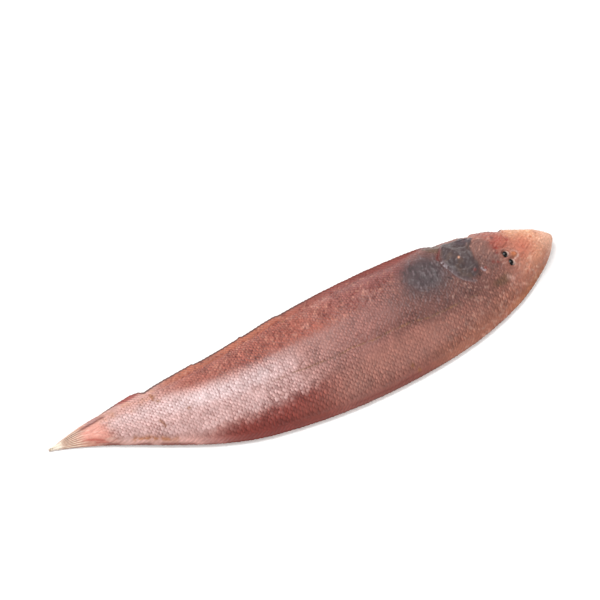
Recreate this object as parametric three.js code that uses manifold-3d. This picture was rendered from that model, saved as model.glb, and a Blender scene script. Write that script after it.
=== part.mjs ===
// A whole tongue sole: a left-eyed flatfish, scaled, uncut and lying on its blind side.
// Millimetres. +X runs from the tail to the snout, +Y from the back edge to the belly edge,
// and +Z up out of the eyed side. The origin is the middle of the fish's box, on the table.

import * as THREE from "three";
import { mergeVertices } from "three/addons/utils/BufferGeometryUtils.js";
import Module from "manifold-3d";

// ---- Driving dimensions -------------------------------------------------------------------

// The whole fish
const LENGTH = 227.3; // tip of the tail fin to the snout
const HALF_WIDTH = 28; // midline to the edge of the fringe, at the broadest place
const THICKNESS = 11.5; // table to the top of the flank, at the deepest place
const SNOUT_DEPTH = 13; // the stretch over which the snout rounds off, seen from the side

// The outline, seen from above
const TAIL_TO_BROADEST = 136; // tip of the tail fin to the broadest place
const TAIL_TIP = 0.5; // half the breadth of the tail fin's blunt tip
const TAIL_SLIMNESS = 1.2; // 1 gives the tail a parabola's outline, a larger value a slimmer one
const HEAD_FULLNESS = 2.3; // a larger value holds the breadth further towards the snout
const HEAD_CLOSING = 0.6; // 0.5 closes the snout as an ellipse does, a larger value more pointed

// The bend of the midline, as the fish was laid down
const TAIL_TO_BEND = 82; // tip of the tail fin to the deepest place of the bend
const TAIL_SWEEP = 9; // how far the tip of the tail lies to the side of that place
const HEAD_SWEEP = 12; // how far the snout does
const HEAD_EASE = 1.5; // 1 turns the head off at an angle, a larger value bends it gently

// The fringe of fins, which runs along both edges and into the tail fin
const FIN_WIDTH = 3.8; // flank to the free edge
const FIN_THICKNESS = 1.1; // at its root
const FIN_EDGE = 0.4; // at its free edge
const FIN_LIFT = 0.9; // how far its underside stands off the table
const FINLESS_EDGE = 0.9; // the rounded lip where the head has no fin
const BELLY_FIN_START = 50; // snout to its first ray on the belly edge, behind the vent
const BACK_FIN_START = 10; // snout to its first ray on the back edge, above the eyes
const FIN_RISE = 16; // the stretch over which its rays come up to full length
const TAIL_FIN_LENGTH = 13; // bare rays of the tail, behind the flesh

// The flank's crown: a larger FLANK_CROWN is flatter on top, a larger FLANK_FALL softer at the fins
const FLANK_CROWN = 2.3;
const FLANK_FALL = 0.84;

// The underside
const FLAT_SHARE = 0.62; // part of the flank's width that lies flat on the table

// Eyes, mouth and gill opening, on the eyed side
const EYE_DIAMETER = 4.4;
const EYE_RISE = 1.1; // how far an eye stands out of the skin
const EYE_FROM_SNOUT = 23.8;
const EYE_SPACING = 4.5; // between the two eyes' centres
const EYE_OFFSET = -1.8; // the pair's middle lies this far from the midline; above 0 is towards the belly
const EYE_STAGGER = 0.8; // the lower eye sits nearer the snout by this much
const MOUTH_FROM_SNOUT = 19.5; // to the front of the mouth, on the belly edge
const MOUTH_DEPTH = 10; // from the belly edge inwards
const MOUTH_HOOK = 6; // how far its corner turns back under the eyes
const GILL_FROM_SNOUT = 50; // to the hindmost point of the gill cover
const GILL_DEPTH = 28; // from the belly edge inwards
const SLIT_RADIUS = 0.45; // half the width of both openings

// How finely the surface is cut into facets
const STATIONS = 92;
const FLANK_STEPS = 18;
const SLIT_STEPS = 24;

// ---- Curves along the fish ----------------------------------------------------------------

// A list of [share of the length from the tail, share of THICKNESS].
const THICKNESS_ALONG = [
  [0, 0.04],
  [0.055, 0.12],
  [0.12, 0.34],
  [0.25, 0.62],
  [0.42, 0.86],
  [0.6, 0.97],
  [0.76, 1],
  [0.88, 0.88],
  [1, 0.62],
];

// A smooth curve through the points of a list, read at a share of the length.
function along(points, share) {
  const last = points.length - 1;
  const slope = (i) => {
    const [before, after] = [points[Math.max(i - 1, 0)], points[Math.min(i + 1, last)]];
    return (after[1] - before[1]) / (after[0] - before[0]);
  };
  let i = 0;
  while (i < last - 1 && share > points[i + 1][0]) i++;
  const span = points[i + 1][0] - points[i][0];
  const s = (share - points[i][0]) / span;
  const rise = points[i + 1][1] - points[i][1];
  const bend = s * (1 - s) * span * ((1 - s) * slope(i) - s * slope(i + 1));
  return points[i][1] + s * s * (3 - 2 * s) * rise + bend;
}

const clamp01 = (v) => Math.min(Math.max(v, 0), 1);
const smooth = (v) => clamp01(v) ** 2 * (3 - 2 * clamp01(v));

// Half the breadth at x: it grows from the tip of the tail, and closes at the snout.
function halfWidth(x) {
  const grown = (1 - (1 - clamp01(x / TAIL_TO_BROADEST)) ** 2) ** TAIL_SLIMNESS;
  const ahead = clamp01((x - TAIL_TO_BROADEST) / (LENGTH - TAIL_TO_BROADEST));
  const closing = (1 - ahead ** HEAD_FULLNESS) ** HEAD_CLOSING;
  return (TAIL_TIP + (HALF_WIDTH - TAIL_TIP) * grown) * closing;
}

// How far to the side the midline lies at x: straight through the tail fin, out to the bend, then
// back across to the snout.
function midline(x) {
  const straight = TAIL_FIN_LENGTH / 2;
  const swept = smooth((x - straight) / (TAIL_TO_BEND - straight));
  const ahead = clamp01((x - TAIL_TO_BEND) / (LENGTH - TAIL_TO_BEND));
  return HEAD_SWEEP * ahead ** HEAD_EASE - TAIL_SWEEP * swept;
}

// 1 along the body, falling to 0 at the snout as a quarter of an ellipse does.
const rounding = (x, stretch) => Math.sqrt(1 - clamp01((x - LENGTH + stretch) / stretch) ** 2);

// ---- The cross-section at a distance x from the tip of the tail -----------------------------

function section(x) {
  const share = x / LENGTH;
  const half = halfWidth(x);
  const mid = midline(x);
  const flesh = smooth((x - TAIL_FIN_LENGTH / 2) / (2 * TAIL_FIN_LENGTH));
  const fringe = (start) => {
    const rays = smooth((LENGTH - start - x) / FIN_RISE);
    const wide = FINLESS_EDGE + (FIN_WIDTH - FINLESS_EDGE) * rays * flesh;
    return Math.min(wide, 0.3 * half);
  };
  const belly = mid + half;
  const back = mid - half;
  return {
    belly,
    back,
    bellyRoot: belly - fringe(BELLY_FIN_START),
    backRoot: back + fringe(BACK_FIN_START),
    height: THICKNESS * along(THICKNESS_ALONG, share),
    lift: FIN_LIFT * smooth(half / (0.5 * HALF_WIDTH)),
    snout: rounding(x, SNOUT_DEPTH),
  };
}

// How far across the flank y lies: -1 at the root of the back fin, 1 at the root of the belly fin.
const across = (s, y) => (2 * y - s.bellyRoot - s.backRoot) / (s.bellyRoot - s.backRoot);

// Height of the eyed side over the table at y, and of the blind side. Both close at the snout.
function upper(s, y) {
  const share = Math.abs(across(s, y));
  const out = share < 1 ? 0 : finShare(s, y);
  const thick = FIN_THICKNESS + (FIN_EDGE - FIN_THICKNESS) * out;
  const dome = share < 1 ? (1 - share ** FLANK_CROWN) ** FLANK_FALL : 0;
  const fin = s.lift + Math.min(thick, Math.max(s.height - s.lift, FIN_EDGE));
  return close(s, fin + Math.max(s.height - fin, 0) * dome);
}
function lower(s, y) {
  const share = Math.abs(across(s, y));
  return close(s, s.lift * smooth((share - FLAT_SHARE) / (1.1 - FLAT_SHARE)));
}
const close = (s, z) => 0.4 * s.height + (z - 0.4 * s.height) * s.snout;

// How far out along the fin y lies: 0 at its root, 1 at its free edge.
function finShare(s, y) {
  const [root, edge] = across(s, y) > 0 ? [s.bellyRoot, s.belly] : [s.backRoot, s.back];
  return (y - root) / (edge - root);
}

// ---- The body and its fins, as one closed skin ----------------------------------------------

// One closed ring of points: over the eyed side from belly to back, and back under the blind side.
function ring(x) {
  const s = section(x);
  const centre = (s.bellyRoot + s.backRoot) / 2;
  const reach = (s.bellyRoot - s.backRoot) / 2;
  const bellyFin = [s.belly, (s.belly + s.bellyRoot) / 2];
  const backFin = [(s.back + s.backRoot) / 2, s.back];
  const flank = [];
  for (let i = 0; i <= FLANK_STEPS; i++) flank.push(centre + reach * Math.cos((Math.PI * i) / FLANK_STEPS));
  const curl = (1 + FLAT_SHARE) / 2; // halfway from the flat of the belly to the fin's root
  const under = [-1, -curl, -FLAT_SHARE, 0, FLAT_SHARE, curl, 1].map((place) => centre + place * reach);
  const over = [...bellyFin, ...flank, ...backFin];
  const beneath = [...backFin.toReversed(), ...under, ...bellyFin.toReversed()];
  return [...over.map((y) => [x, y, upper(s, y)]), ...beneath.map((y) => [x, y, lower(s, y)])];
}

// Stations lie closer together towards both ends, where the outline turns fastest.
function stationAt(i) {
  const share = (1 - Math.cos((Math.PI * i) / STATIONS)) / 2;
  return LENGTH * (0.001 + 0.998 * share);
}

function bodySkin() {
  const rings = [];
  for (let i = 0; i <= STATIONS; i++) rings.push(ring(stationAt(i)));
  const count = rings[0].length;
  const points = rings.flat();
  const faces = [];
  for (let i = 0; i < STATIONS; i++) {
    for (let j = 0; j < count; j++) {
      const [a, b] = [i * count + j, i * count + ((j + 1) % count)];
      faces.push([a, b, a + count], [b, b + count, a + count]);
    }
  }
  for (const [first, turned] of [[0, true], [STATIONS * count, false]]) {
    const cap = rings[first / count];
    const middle = [0, 1, 2].map((k) => cap.reduce((sum, p) => sum + p[k], 0) / count);
    const centre = points.push(middle) - 1;
    for (let j = 0; j < count; j++) {
      const [a, b] = [first + j, first + ((j + 1) % count)];
      faces.push(turned ? [centre, b, a] : [centre, a, b]);
    }
  }
  const skin = new THREE.BufferGeometry();
  skin.setAttribute("position", new THREE.Float32BufferAttribute(points.flat(), 3));
  skin.setIndex(faces.flat());
  return skin;
}

// ---- Eyes, mouth and gill opening -----------------------------------------------------------

// The point of the eyed side that lies `fromSnout` behind the snout and at y.
function onSkin(fromSnout, y) {
  const x = LENGTH - fromSnout;
  return new THREE.Vector3(x, y, upper(section(x), y));
}

function eye(fromSnout, y) {
  const ball = new THREE.SphereGeometry(EYE_DIAMETER / 2, 20, 12);
  const centre = onSkin(fromSnout, y);
  ball.translate(centre.x, centre.y, centre.z + EYE_RISE - EYE_DIAMETER / 2);
  return ball;
}

function eyes() {
  const between = midline(LENGTH - EYE_FROM_SNOUT) + EYE_OFFSET;
  return [
    eye(EYE_FROM_SNOUT + EYE_STAGGER / 2, between + EYE_SPACING / 2),
    eye(EYE_FROM_SNOUT - EYE_STAGGER / 2, between - EYE_SPACING / 2),
  ];
}

// A round-bottomed slit along the skin. Its line is smooth, and its places are
// [distance from the snout, distance in from the belly edge].
function slit(places) {
  const plan = new THREE.SplineCurve(places.map((place) => new THREE.Vector2(...place)));
  const line = plan.getPoints(SLIT_STEPS).map((place) => {
    const edge = section(LENGTH - place.x).belly;
    return onSkin(place.x, edge - place.y);
  });
  const round = new THREE.Shape();
  round.absarc(0, 0, SLIT_RADIUS, 0, 2 * Math.PI);
  const sweep = { steps: SLIT_STEPS, curveSegments: 4, bevelEnabled: false };
  return new THREE.ExtrudeGeometry(round, { ...sweep, extrudePath: new THREE.CatmullRomCurve3(line) });
}

function mouth() {
  return slit([
    [MOUTH_FROM_SNOUT, FINLESS_EDGE + SLIT_RADIUS],
    [MOUTH_FROM_SNOUT, 0.6 * MOUTH_DEPTH],
    [MOUTH_FROM_SNOUT + 0.4 * MOUTH_HOOK, MOUTH_DEPTH],
    [MOUTH_FROM_SNOUT + MOUTH_HOOK, MOUTH_DEPTH],
  ]);
}

function gillOpening() {
  return slit([
    [GILL_FROM_SNOUT - 3, FINLESS_EDGE + 2 * SLIT_RADIUS],
    [GILL_FROM_SNOUT, 0.45 * GILL_DEPTH],
    [GILL_FROM_SNOUT - 2, 0.75 * GILL_DEPTH],
    [GILL_FROM_SNOUT - 5, GILL_DEPTH],
  ]);
}

// ---- Joining the skin, the eyes and the cuts into one solid ---------------------------------

const wasm = await Module();
wasm.setup();

function solid(geometry) {
  const bare = geometry.clone();
  bare.deleteAttribute("normal");
  bare.deleteAttribute("uv");
  const merged = mergeVertices(bare, 1e-4);
  return new wasm.Manifold(
    new wasm.Mesh({
      numProp: 3,
      vertProperties: merged.attributes.position.array,
      triVerts: new Uint32Array(merged.index.array),
    }),
  );
}

function geometryOf(manifold) {
  const mesh = manifold.getMesh();
  const geometry = new THREE.BufferGeometry();
  geometry.setAttribute("position", new THREE.BufferAttribute(mesh.vertProperties, 3));
  geometry.setIndex(new THREE.BufferAttribute(mesh.triVerts, 1));
  geometry.computeVertexNormals();
  return geometry;
}

function tongueSole() {
  let fish = solid(bodySkin());
  for (const ball of eyes()) fish = fish.add(solid(ball));
  for (const opening of [mouth(), gillOpening()]) fish = fish.subtract(solid(opening));
  const geometry = geometryOf(fish);
  geometry.computeBoundingBox();
  const { min, max } = geometry.boundingBox;
  geometry.translate(-(min.x + max.x) / 2, -(min.y + max.y) / 2, -min.z);
  const skin = new THREE.MeshStandardMaterial({ color: 0xb8746c, roughness: 0.45, metalness: 0 });
  const mesh = new THREE.Mesh(geometry, skin);
  mesh.name = "tongue_sole";
  return mesh;
}

const fish = new THREE.Group();
fish.add(tongueSole());

export default fish;
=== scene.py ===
# %% [markdown]
# # A whole tongue sole, eyed side up
#
# A tongue sole is a flatfish: one long flank with both eyes on it, a fringe of fins down both
# edges, and a tail that runs out to a point. Everything on it grew as one skin, so this lesson
# makes one closed skin for the fish and adds only what really differs from skin: its two eyes.
#
# The plan is to read the fish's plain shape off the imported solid, lay a fine grid of points
# over it, and then press every real feature into that grid: the scales, the fin rays, the gill
# cover, the mouth and the sockets of the eyes. Working on one grid keeps relief and colour in
# step, because both come from the same measured places on the skin.

# %% Load the frame
import math

import bpy
import numpy as np
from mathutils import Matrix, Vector
from mathutils.bvhtree import BVHTree


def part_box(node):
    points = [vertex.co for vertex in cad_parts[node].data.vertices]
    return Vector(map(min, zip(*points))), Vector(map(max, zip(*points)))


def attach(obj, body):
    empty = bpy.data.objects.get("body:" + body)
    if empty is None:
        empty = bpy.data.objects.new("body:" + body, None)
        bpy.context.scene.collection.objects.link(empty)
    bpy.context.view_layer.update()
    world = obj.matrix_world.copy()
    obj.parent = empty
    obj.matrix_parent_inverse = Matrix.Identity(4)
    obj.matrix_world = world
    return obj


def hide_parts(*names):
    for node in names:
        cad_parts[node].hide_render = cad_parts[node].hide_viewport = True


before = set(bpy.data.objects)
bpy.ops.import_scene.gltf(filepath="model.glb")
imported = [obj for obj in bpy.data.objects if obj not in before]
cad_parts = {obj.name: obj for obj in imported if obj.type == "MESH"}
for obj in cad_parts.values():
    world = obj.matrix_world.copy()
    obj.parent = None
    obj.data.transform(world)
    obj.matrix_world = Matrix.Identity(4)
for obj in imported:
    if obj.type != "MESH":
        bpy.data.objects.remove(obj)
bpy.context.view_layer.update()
NODE = "tongue_sole"
MM = 0.001  # the lesson measures in millimetres, and Blender's unit is the metre

low, high = (np.array(corner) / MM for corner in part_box(NODE))
length, width, height = high - low
print(f"the fish is {length:.1f} x {width:.1f} x {height:.1f} mm")

# %% [markdown]
# ## Reading the shape off the solid
#
# A fishmonger would describe a sole by its outline and its thickness. The same two facts are
# read here: where the two edges lie at each station along the fish, and how high the eyed side
# and the blind side stand at each place between them. The edges come from cutting the solid's
# edges with a plane. The heights come from rays cast down and up, then smoothed, which also
# irons out the solid's small eyes and slits, because finer ones are made later.

# %% Cut the solid at stations along its length
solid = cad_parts[NODE].data
corners = np.empty(len(solid.vertices) * 3)
solid.vertices.foreach_get("co", corners)
corners = corners.reshape(-1, 3) / MM
ends = np.empty(len(solid.edges) * 2, int)
solid.edges.foreach_get("vertices", ends)
ends = ends.reshape(-1, 2)

CUTS = 420
END_MARGIN = 0.12  # the last cut lies this far inside each end, where the solid still has width


def edges_at(x):
    """The back edge's and the belly edge's y on the plane at x, in millimetres."""
    a, b = corners[ends[:, 0]], corners[ends[:, 1]]
    crossing = (a[:, 0] - x) * (b[:, 0] - x) < 0
    a, b = a[crossing], b[crossing]
    y = a[:, 1] + (b[:, 1] - a[:, 1]) * (x - a[:, 0]) / (b[:, 0] - a[:, 0])
    return y.min(), y.max()


cut_x = np.linspace(low[0] + END_MARGIN, high[0] - END_MARGIN, CUTS)
back_edge, belly_edge = np.array([edges_at(x) for x in cut_x]).T
print(f"{len(cut_x)} cuts, broadest {np.ptp([back_edge, belly_edge], axis=0).max():.1f} mm")

# %% Cast rays for the two heights
ALONG_CASTS, ACROSS_CASTS = 150, 73
CAST_INSET = 0.985  # rays stay just inside the edge, where there is solid to hit
CLEAR = 99  # a height well clear of the fish, where the rays start
BLUR_ALONG, BLUR_ACROSS = 1.6, 0.9  # in casts: enough to iron out the solid's eyes and slits

faces = [tuple(p.vertices) for p in solid.polygons]
tree = BVHTree.FromPolygons([Vector(c) for c in corners], faces)
cast_x = np.linspace(cut_x[0], cut_x[-1], ALONG_CASTS)
cast_share = np.linspace(-1, 1, ACROSS_CASTS)
eyed = np.zeros((ALONG_CASTS, ACROSS_CASTS))
blind = np.zeros((ALONG_CASTS, ACROSS_CASTS))
for i, x in enumerate(cast_x):
    near, far = np.interp(x, cut_x, back_edge), np.interp(x, cut_x, belly_edge)
    for j, share in enumerate(cast_share * CAST_INSET):
        y = (near + far) / 2 + share * (far - near) / 2
        eyed[i, j] = tree.ray_cast(Vector((x, y, CLEAR)), Vector((0, 0, -1)))[0].z
        blind[i, j] = tree.ray_cast(Vector((x, y, -CLEAR)), Vector((0, 0, 1)))[0].z


def smoothed(values, spread, axis):
    """Blurs an array along one axis with a Gaussian of that spread, in steps."""
    reach = int(3 * spread) + 1
    weights = np.exp(-0.5 * (np.arange(-reach, reach + 1) / spread) ** 2)
    weights /= weights.sum()
    padding = [(reach, reach) if a == axis else (0, 0) for a in range(values.ndim)]
    padded = np.pad(values, padding, mode="edge")
    size = values.shape[axis]
    shifted = (np.take(padded, range(k, k + size), axis) for k in range(len(weights)))
    return sum(weight * part for weight, part in zip(weights, shifted))


eyed = smoothed(smoothed(eyed, BLUR_ALONG, 0), BLUR_ACROSS, 1)
blind = smoothed(smoothed(blind, BLUR_ALONG, 0), BLUR_ACROSS, 1)
print(f"flank {eyed.max():.1f} mm high, underside flat to {blind.min():.2f} mm")

# %% [markdown]
# ## The grid
#
# The scales are about 2 mm wide, so a step of about a quarter of a millimetre gives each one
# eight points, enough for a rounded edge. Every point knows four distances, all in
# millimetres: how far it is from the tip of the tail (`u`), how far it is from the fish's own
# midline towards the belly (`w`), and how far it lies in from each edge. Features are placed by
# these, so they stay where they belong if the solid changes.

# %% Lay the grid
ALONG_STEPS, ACROSS_STEPS = 936, 232
SNOUT_CLOSE = 9.0  # the last stretch, where stations crowd together to round the snout

plain = np.linspace(0, 1, ALONG_STEPS + 1)
crowd = SNOUT_CLOSE / length
run = plain * (1 + crowd * (math.pi / 2 - 1))
station = np.where(run < 1 - crowd, run, 1 - crowd + crowd * np.sin((run - 1 + crowd) / crowd))
x_at = cut_x[0] + station * (cut_x[-1] - cut_x[0])
near_at, far_at = np.interp(x_at, cut_x, back_edge), np.interp(x_at, cut_x, belly_edge)
share_at = np.linspace(-1, 1, ACROSS_STEPS + 1)

X = np.repeat(x_at[:, None], ACROSS_STEPS + 1, 1)
mid = ((near_at + far_at) / 2)[:, None]
half = ((far_at - near_at) / 2)[:, None]
SHARE = np.repeat(share_at[None], ALONG_STEPS + 1, 0)
W = SHARE * half
U = X - low[0]
FROM_BACK = W + half
FROM_BELLY = half - W
SNOUT = length - U


def over_grid(values):
    """Reads a table of casts at every point of the grid."""
    across = np.array([np.interp(share_at, cast_share, row) for row in values])
    return np.array([np.interp(x_at, cast_x, column) for column in across.T]).T


TOP = over_grid(eyed)
UNDER = over_grid(blind)
print(f"{TOP.size} points, {np.diff(x_at).max():.2f} x {2 * half.max() / ACROSS_STEPS:.2f} mm apart")

# %% [markdown]
# ## Tools for drawing on the skin
#
# Skin features are few kinds of thing: a soft-edged patch, a line, and a random mottle. Each
# kind is one small function that gives a mask from 0 to 1 over the grid. Nothing on a fish has
# a ruled edge, so places are first nudged by a slow random drift, and every mask drawn with
# the nudged places wanders a little, as a natural boundary does.

# %% Masks
def ramp(value, start, end):
    """0 before start, 1 after end, and smooth between them."""
    t = np.clip((value - start) / (end - start), 0, 1)
    return t * t * (3 - 2 * t)


def mottle(cell, seed, u=U, w=W):
    """Smooth random values from -1 to 1, with lumps about cell millimetres across."""
    table = np.random.default_rng(seed).uniform(-1, 1, (512, 128))
    across, along = w / cell + 60, u / cell + 3
    i, j = np.floor(along).astype(int), np.floor(across).astype(int)
    s, t = along - i, across - j
    s, t = s * s * (3 - 2 * s), t * t * (3 - 2 * t)
    near, far = (
        table[i % 512, (j + b) % 128] * (1 - s) + table[(i + 1) % 512, (j + b) % 128] * s
        for b in (0, 1)
    )
    return near * (1 - t) + far * t


def wander(size, seed):
    """A drift of the places themselves: big slow bends with smaller ones on them."""
    return size * (mottle(9, seed) + 0.5 * mottle(3.5, seed + 1) + 0.25 * mottle(1.4, seed + 2))


def streaks(long, wide, turn, seed):
    """A mottle drawn out into short streaks of that size, turned by degrees."""
    a = math.radians(turn)
    p, q = U * math.cos(a) + W * math.sin(a), W * math.cos(a) - U * math.sin(a)
    return mottle(1, seed, p / long, q / wide)


DU, DW = U + wander(0.5, 10), W + wander(0.5, 20)


def patch(u, w, long, wide, turn=0.0, soft=0.5):
    """An oval patch centred at (u, w), turned by degrees. soft is the share that fades."""
    a = math.radians(turn)
    p, q = DU - u, DW - w
    along, across = p * math.cos(a) + q * math.sin(a), q * math.cos(a) - p * math.sin(a)
    distance = np.hypot(along / (long / 2), across / (wide / 2))
    return 1 - ramp(distance, 1 - soft, 1 + soft)


def curve(points, steps=6):
    """A smooth line through a few points, as a longer list of points."""
    p = np.array([points[0], *points, points[-1]], float)
    t = np.linspace(0, 1, steps, endpoint=False)[:, None]
    out = []
    for a, b, c, d in zip(p, p[1:], p[2:], p[3:]):
        bend = (2 * a - 5 * b + 4 * c - d) * t**2 + (3 * b - a - 3 * c + d) * t**3
        out.append(0.5 * (2 * b + (c - a) * t + bend))
    return np.vstack([*out, p[-1:]])


def distance_to(points, reach, u, w):
    """Distance to a line through the points, and how far along it that is, from 0 to 1."""
    steps = np.hypot(*np.diff(points, axis=0).T)
    nearest, place = np.full(u.shape, 2.0 * reach), np.zeros(u.shape)
    low_u, low_w = points.min(0) - reach
    high_u, high_w = points.max(0) + reach
    close_by = (u > low_u) & (u < high_u) & (w > low_w) & (w < high_w)
    p, q = u[close_by], w[close_by]
    best, where, gone = np.full(p.shape, 2.0 * reach), np.zeros(p.shape), 0.0
    for a, b, step in zip(points[:-1], points[1:], steps):
        t = np.clip(((p - a[0]) * (b[0] - a[0]) + (q - a[1]) * (b[1] - a[1])) / step**2, 0, 1)
        gap = np.hypot(p - a[0] - t * (b[0] - a[0]), q - a[1] - t * (b[1] - a[1]))
        where = np.where(gap < best, (gone + t * step) / steps.sum(), where)
        best = np.minimum(best, gap)
        gone += step
    nearest[close_by], place[close_by] = best, where
    return nearest, place


def stroke(points, wide, steady=False, fade=0.12):
    """A soft line of that width through the points, fading at both ends."""
    gap, place = distance_to(curve(points), 2.5 * wide, *((U, W) if steady else (DU, DW)))
    return np.exp(-((gap / (wide / 2)) ** 2)) * ramp(place, 0, fade) * ramp(1 - place, 0, fade)


def area(points, soft):
    """Inside the outline through the points, fading over that distance each side of it."""
    outline = curve([*points, points[0]])
    gap, _ = distance_to(outline, soft + 0.1, DU, DW)
    inside = np.zeros(U.shape, bool)
    for (u1, w1), (u2, w2) in zip(outline[:-1], outline[1:]):
        if w1 != w2:
            crosses = ((w1 > DW) != (w2 > DW)) & (DU < u1 + (u2 - u1) * (DW - w1) / (w2 - w1))
            inside ^= crosses
    return ramp(np.where(inside, gap, -gap), -soft, soft)


def dots(places, size):
    """Round soft spots of that size."""
    spots = [np.exp(-(((DU - u) ** 2 + (DW - w) ** 2) / (size / 2) ** 2)) for u, w in places]
    return np.max(spots, axis=0)


print("masks are ready")

# %% [markdown]
# ## Scales
#
# Sole scales are small, thin and laid like roof tiles: each covers the front of the one behind
# it, and its free edge points at the tail. Neighbouring rows are half a scale out of step,
# which is why the flank reads as a net of lozenges. For each point of the grid the foremost
# scale that still reaches over it is the one that shows. Its surface rises gently towards its
# free edge and then drops to the scale behind, and that small step is what catches the light.
# The drop is drawn several times deeper than a real one, which is too fine to see.

# %% Lay the rows of scales
ROW = 1.06  # from one row of free edges to the next, along the fish
SCALE_WIDTH = 2.0
SCALE_STEP = 0.40  # from the free edge down to the scale behind
REACH = 1.45  # how far a scale reaches behind its own row, in rows
OVERLAP = 0.60  # half its width as a share of the pitch: over a half, so that scales overlap

P = (U + wander(0.5, 30)) / ROW
Q = (W + wander(0.5, 40)) / (SCALE_WIDTH * (0.72 + 0.28 * half / half.max()))
chance = np.random.default_rng(5).uniform(-1, 1, (256, 256, 4))


def scale_at(row):
    """The scale of that row nearest each point: how far its edge is behind, and its own luck."""
    shift = 0.5 * (row % 2)
    column = np.round(Q - shift).astype(int)
    luck = chance[row % 256, column % 256]
    aside = Q - shift - column + 0.10 * luck[..., 0]
    reach = REACH * np.sqrt(np.clip(1 - (aside / OVERLAP) ** 2, 0, 1)) * (1 + 0.16 * luck[..., 1])
    return P - (row - reach), aside, luck


SCALE_RISE = np.zeros(U.shape)  # 0 in the pocket, 1 at the free edge
SCALE_TINT = np.zeros(U.shape)  # each scale's own shade, -1 to 1
POCKET = np.zeros(U.shape)  # the shadowed flesh behind a free edge
settled = np.zeros(U.shape, bool)
for step in (3, 2, 1, 0, -1):
    row = np.floor(P).astype(int) + step
    ahead, aside, luck = scale_at(row)
    shows = (ahead >= 0) & ~settled
    dome = 1 - 0.45 * (aside / 0.5) ** 2
    rise = np.clip(1 - 0.55 * ahead, 0, 1) ** 1.5 * dome * (1 + 0.3 * luck[..., 2])
    SCALE_RISE = np.where(shows, rise, SCALE_RISE)
    SCALE_TINT = np.where(shows, luck[..., 3], SCALE_TINT)
    behind = ~settled & (ahead < 0)
    apex = 0.4 + 0.6 * np.clip(1 - (aside / 0.36) ** 2, 0, 1) * (0.8 + 0.3 * luck[..., 1])
    POCKET = np.where(behind, np.maximum(POCKET, np.exp(-((ahead / 0.52) ** 2)) * apex), POCKET)
    settled |= shows
print(f"{int(length / ROW)} rows of scales, {100 * settled.mean():.0f}% of the skin covered")

# %% [markdown]
# ## Where the scales fade
#
# Scales stop at the roots of the fins and of the tail. They thin out over the head, where the
# skin is bare and porous, and over the thin slack skin of the gut and the gill cover. The mask
# below is 1 where they stand full height. The bare skin of the head begins where they fade, so
# both are drawn with the same drift.

# %% Scale cover
FIN_WIDTH = 3.8
BELLY_FIN_END = 50.0  # from the snout to the first ray on the belly edge
GILL_COVER = [(178.2, 14.5), (177.8, 8), (179.5, 2.5), (182.5, -2.5), (187.5, -3.2), (190.3, 0.5),
              (190.2, 6), (192.5, 11), (194.5, 15.5), (190, 20.5), (184, 22), (180, 18.5)]

belly_fringe = FIN_WIDTH * ramp(SNOUT, BELLY_FIN_END - 8, BELLY_FIN_END + 8)
back_fringe = FIN_WIDTH * ramp(SNOUT, 9, 26)
ON_BELLY_FIN = 1 - ramp(FROM_BELLY / np.maximum(belly_fringe, 0.01), 0.7, 1.2)
ON_BACK_FIN = 1 - ramp(FROM_BACK / np.maximum(back_fringe, 0.01), 0.5, 1.1)
ON_FIN = np.maximum(ON_BELLY_FIN, ON_BACK_FIN)
ON_TAIL = 1 - ramp(U + wander(0.8, 51), 11.5, 17)
gill_cover = area(GILL_COVER, 1.1)
gut = patch(167, 10, 21, 21, 0, 0.5)
SCALED = (1 - ON_FIN) * (1 - ON_TAIL) * (1 - gill_cover) * (1 - 0.75 * gut)
head_drift = wander(2.5, 50)
SCALED *= 1 - 0.85 * ramp(U + 0.7 * W + head_drift, 184, 202)
SCALED *= (0.72 + 0.28 * mottle(7, 52)) * ramp(U + wander(1.5, 53), 19, 27)
print(f"scales cover {100 * SCALED.mean():.0f}% of the grid")

# %% [markdown]
# ## The gill cover, the belly and the cheek
#
# A soft plate covers the gills. Its hind edge is free, so it stands up as a low step with a
# groove behind it, and the slack membrane on it falls in folds. The skin over the gut behind
# it is thin and slack too. In front, the cheek is a rounded cushion with a crease around it.

# %% Plates and folds
GILL_EDGE = [(182.5, 21), (179.5, 17.5), (177.2, 13), (177.0, 8.5), (178.4, 4.5), (180.3, 0.5),
             (183, -3.5), (187, -6)]
CHEEK = [(190.3, 3), (191, -1.5), (195, -3.4), (199, -2.5), (200, 3), (200, 8), (197.5, 12.5),
         (194, 12), (191.2, 8)]
GILL_FOLDS = [
    [(181, 17.5), (183.3, 15), (185.5, 12.2), (189, 10.6), (191.5, 12), (193.5, 15.5)],
    [(184.5, 13.5), (187, 9), (189.5, 8), (190.2, 4)],
    [(180.5, 6), (182, 2.5), (185.5, 1), (188.5, 1.6)],
    [(186.5, 18), (189, 16.6), (192, 16.8)],
]
GUT_CREASES = [
    [(161, 6), (162.5, 3), (164.6, 0.4)],
    [(163, 16), (166, 18), (170, 17), (173, 14)],
    [(171, 12), (172.6, 8), (172, 4), (174, 1)],
    [(166, 12), (168.5, 9), (167.5, 5.5)],
    [(175.5, 18), (175, 12), (176.3, 6)],
]

GILL_COVER_HIGH, CHEEK_HIGH, FOLD_HIGH, GUT_CREASE_HIGH = 0.55, 0.35, 0.40, 0.10
GILL_GROOVE_DEEP, GUT_DEEP = 0.6, 0.4
SLACK_LUMPS, GILL_LUMPS = 0.16, 0.12  # how high the slack skin's lumps stand

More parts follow.
